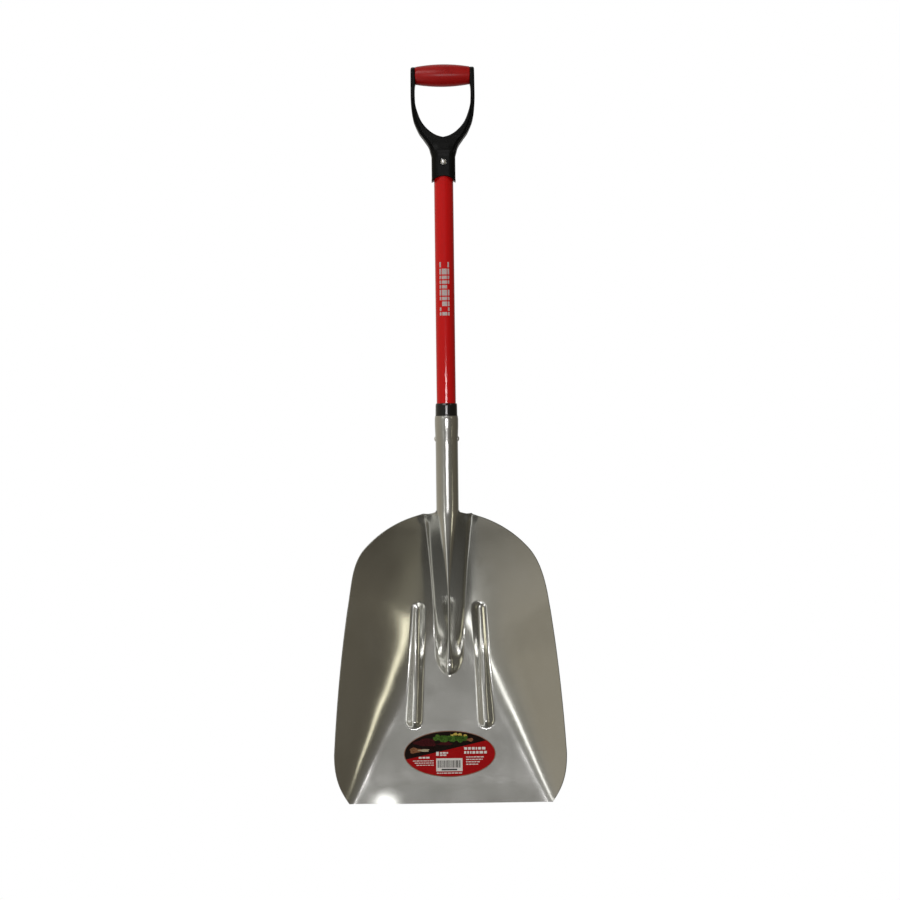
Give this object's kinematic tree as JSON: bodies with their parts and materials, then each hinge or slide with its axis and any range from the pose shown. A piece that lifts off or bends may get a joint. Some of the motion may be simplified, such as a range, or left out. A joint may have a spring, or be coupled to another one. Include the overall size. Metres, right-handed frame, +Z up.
{
  "type": "grain scoop shovel",
  "caption": "Long-handled grain scoop: deep pressed aluminium scoop with a rolled socket, a round red shaft and a black D-grip with a red barrel.",
  "frame": {"origin": "centre of the bounding box in X and Y, at the level of the scoop's lip", "axes": "+Z up along the shaft from lip to grip; the hollow of the scoop faces -Y; X runs across the scoop, along the barrel of the grip"},
  "size_m": [0.3852, 0.111, 1.2254],
  "materials": {
    "pressed_aluminium": "brushed",
    "rolled_aluminium": "brushed",
    "rivet_steel": "satin",
    "plug_wood": "matt",
    "black_moulding": "satin",
    "red_fibreglass": "gloss",
    "red_moulding": "satin",
    "decal_ink": "gloss",
    "label_film": "gloss"
  },
  "bodies": {
    "root": {"scoop_blade": "pressed_aluminium", "socket_tube": "rolled_aluminium", "socket_rivet": "rivet_steel", "socket_plug": "plug_wood", "collar": "black_moulding", "shaft": "red_fibreglass", "shaft_decal": "decal_ink", "grip_plug": "plug_wood", "grip_yoke": "black_moulding", "grip_rivet": "rivet_steel", "grip_barrel": "red_moulding", "blade_label": "label_film"}
  },
  "joints": []
}
